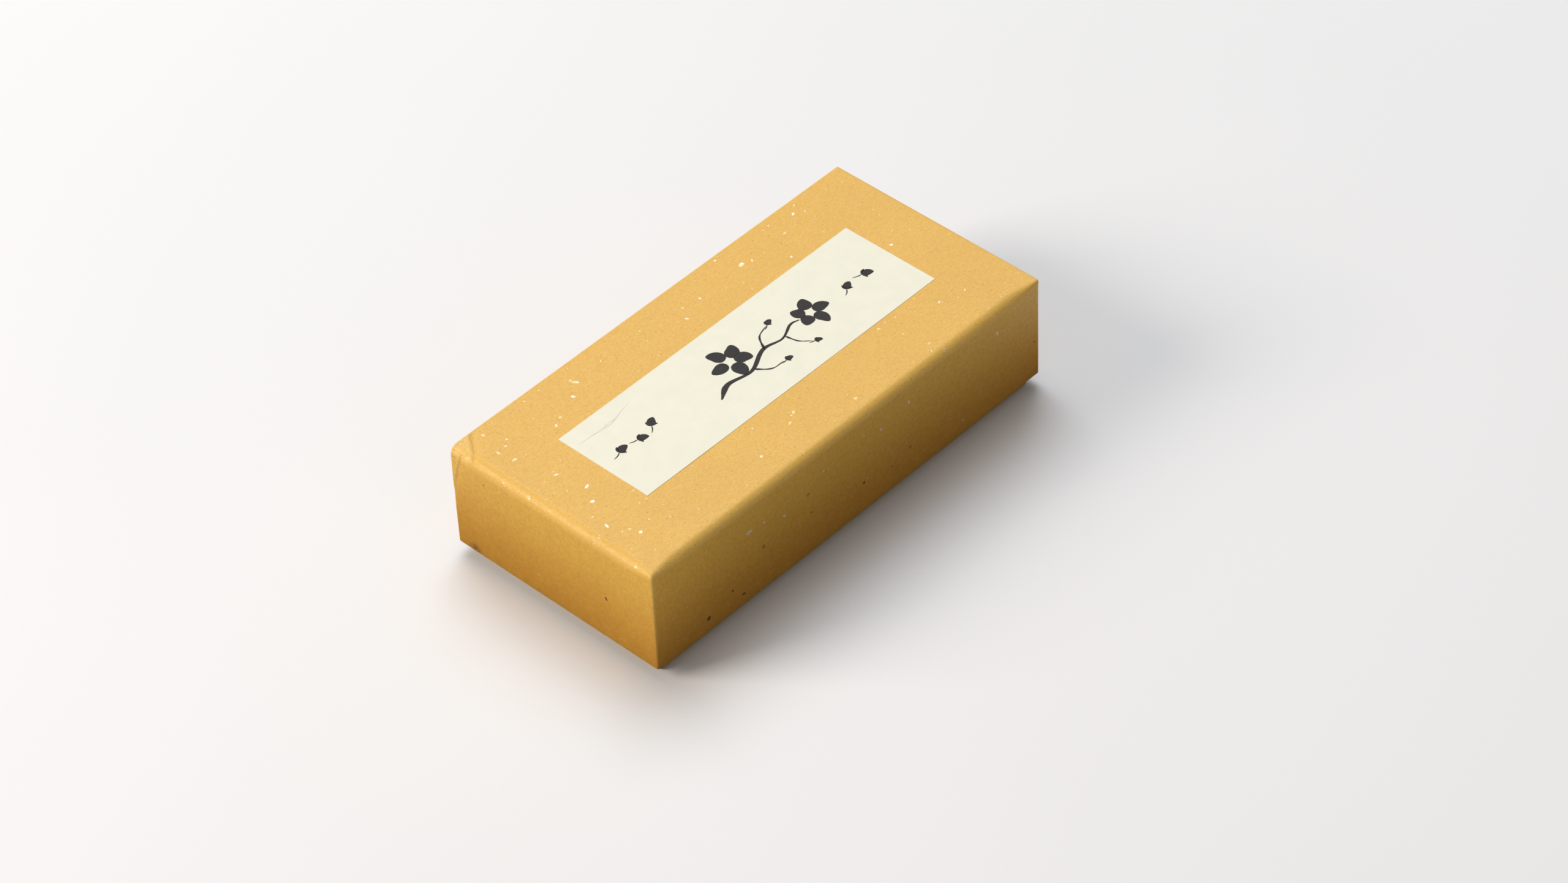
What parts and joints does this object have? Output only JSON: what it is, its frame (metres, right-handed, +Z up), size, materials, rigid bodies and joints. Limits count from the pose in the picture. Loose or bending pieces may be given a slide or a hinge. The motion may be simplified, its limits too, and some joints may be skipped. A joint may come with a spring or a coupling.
{
  "type": "paper-wrapped lift-off-lid box with banded charcoal sticks",
  "caption": "Small rectangular gold-papered set-up box with a deep lift-off lid and a plain label, holding paper-banded bundles of pressed charcoal sticks.",
  "frame": {"origin": "centre of the box's footprint, on the surface it stands on", "axes": "+X along the long side, +Y along the short side, +Z up out of the tray's mouth; the label's top is towards +X"},
  "size_m": [0.148, 0.0724, 0.0369],
  "materials": {
    "gold_paper": "satin gold-coloured fibrous paper with small silvery flecks",
    "greyboard": "matte recycled greyboard",
    "white_paper": "matte uncoated white paper",
    "kraft_tape": "matte gummed kraft paper tape",
    "label_paper": "smooth cream paper with a brush-painted motif",
    "bottom_paper": "matte buff paper",
    "divider_card": "matte white-lined card",
    "pad_paper": "matte off-white corrugated paper",
    "interleaf_paper": "thin translucent-looking white paper",
    "band_paper": "matte straw-coloured paper",
    "leaflet_paper": "matte cream paper with a plain brush motif",
    "charcoal": "matte pressed charcoal powder"
  },
  "bodies": {
    "tray": {"tray_board": "greyboard", "tray_corner_tapes": "kraft_tape", "tray_wrap": "gold_paper", "tray_lining": "white_paper", "tray_bottom_sheet": "bottom_paper", "divider": "divider_card", "base_pad_sheet_left": "pad_paper", "base_pad_flutes_left": "pad_paper", "base_pad_sheet_right": "pad_paper", "base_pad_flutes_right": "pad_paper"},
    "lid": {"lid_board": "greyboard", "lid_corner_tapes": "kraft_tape", "lid_wrap": "gold_paper", "lid_lining": "white_paper", "top_label": "label_paper"},
    "folded_leaflet": {"leaflet": "leaflet_paper"},
    "cover_pad": {"cover_pad_sheet": "pad_paper", "cover_pad_flutes": "pad_paper"},
    "upper_bundle_left": {"band_upper_left": "band_paper", "stick_upper_left_1": "charcoal", "stick_upper_left_2": "charcoal", "stick_upper_left_3": "charcoal", "stick_upper_left_4": "charcoal", "stick_upper_left_5": "charcoal", "stick_upper_left_6": "charcoal"},
    "lower_bundle_left": {"band_lower_left": "band_paper", "stick_lower_left_1": "charcoal", "stick_lower_left_2": "charcoal", "stick_lower_left_3": "charcoal", "stick_lower_left_4": "charcoal", "stick_lower_left_5": "charcoal", "stick_lower_left_6": "charcoal"},
    "interleaf_sheet_left": {"interleaf_left": "interleaf_paper"},
    "upper_bundle_right": {"band_upper_right": "band_paper", "stick_upper_right_1": "charcoal", "stick_upper_right_2": "charcoal", "stick_upper_right_3": "charcoal", "stick_upper_right_4": "charcoal", "stick_upper_right_5": "charcoal", "stick_upper_right_6": "charcoal"},
    "lower_bundle_right": {"band_lower_right": "band_paper", "stick_lower_right_1": "charcoal", "stick_lower_right_2": "charcoal", "stick_lower_right_3": "charcoal", "stick_lower_right_4": "charcoal", "stick_lower_right_5": "charcoal", "stick_lower_right_6": "charcoal"},
    "interleaf_sheet_right": {"interleaf_right": "interleaf_paper"}
  },
  "joints": [
    {"name": "lid_lift", "type": "slide", "parent": "tray", "child": "lid", "axis": [0, 0, 1], "range_m": [0, 0.12]},
    {"name": "folded_leaflet_lift", "type": "slide", "parent": "tray", "child": "folded_leaflet", "axis": [0, 0, 1], "range_m": [0, 0.0749]},
    {"name": "cover_pad_lift", "type": "slide", "parent": "tray", "child": "cover_pad", "axis": [0, 0, 1], "range_m": [0, 0.0665]},
    {"name": "upper_bundle_left_lift", "type": "slide", "parent": "tray", "child": "upper_bundle_left", "axis": [0, 0, 1], "range_m": [0, 0.0545]},
    {"name": "lower_bundle_left_lift", "type": "slide", "parent": "tray", "child": "lower_bundle_left", "axis": [0, 0, 1], "range_m": [0, 0.0341]},
    {"name": "interleaf_sheet_left_lift", "type": "slide", "parent": "tray", "child": "interleaf_sheet_left", "axis": [0, 0, 1], "range_m": [0, 0.0437]},
    {"name": "upper_bundle_right_lift", "type": "slide", "parent": "tray", "child": "upper_bundle_right", "axis": [0, 0, 1], "range_m": [0, 0.0545]},
    {"name": "lower_bundle_right_lift", "type": "slide", "parent": "tray", "child": "lower_bundle_right", "axis": [0, 0, 1], "range_m": [0, 0.0341]},
    {"name": "interleaf_sheet_right_lift", "type": "slide", "parent": "tray", "child": "interleaf_sheet_right", "axis": [0, 0, 1], "range_m": [0, 0.0437]}
  ],
  "couplings": [
    {"joint": "folded_leaflet_lift", "follows": "lid_lift", "ratio": 0.62},
    {"joint": "cover_pad_lift", "follows": "lid_lift", "ratio": 0.55},
    {"joint": "upper_bundle_left_lift", "follows": "lid_lift", "ratio": 0.45},
    {"joint": "lower_bundle_left_lift", "follows": "lid_lift", "ratio": 0.28},
    {"joint": "interleaf_sheet_left_lift", "follows": "lid_lift", "ratio": 0.36},
    {"joint": "upper_bundle_right_lift", "follows": "lid_lift", "ratio": 0.45},
    {"joint": "lower_bundle_right_lift", "follows": "lid_lift", "ratio": 0.28},
    {"joint": "interleaf_sheet_right_lift", "follows": "lid_lift", "ratio": 0.36}
  ]
}
